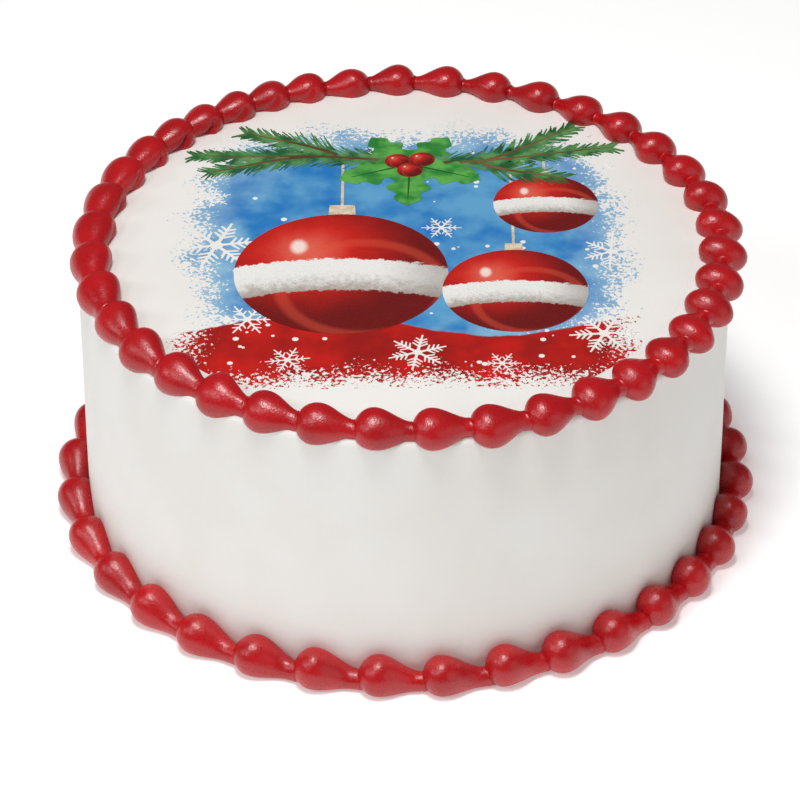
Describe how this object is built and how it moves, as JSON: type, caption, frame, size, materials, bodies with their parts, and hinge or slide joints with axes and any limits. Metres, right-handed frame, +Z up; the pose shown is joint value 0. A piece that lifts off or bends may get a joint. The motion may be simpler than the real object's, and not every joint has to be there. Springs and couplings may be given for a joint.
{
  "type": "christmas cake",
  "caption": "Uncut round iced cake with smooth white icing, a printed icing sheet on top, and piped red shell borders round its top edge and its foot.",
  "frame": {"origin": "on the cake's vertical axis, at the level of the surface it stands on", "axes": "+Z up, -Y towards the front, which is the lower edge of the printed picture, +X to the right seen from the front"},
  "size_m": [0.2306, 0.2298, 0.1015],
  "materials": {
    "white_icing": "smooth white icing with a soft satin sheen",
    "printed_icing": "matt edible icing sheet with a blue, red and white winter print",
    "red_buttercream": "satin red piped buttercream with soft broad highlights"
  },
  "bodies": {
    "root": {"cake_body": "white_icing", "icing_sheet": "printed_icing", "top_border": "red_buttercream", "bottom_border": "red_buttercream"}
  },
  "joints": []
}
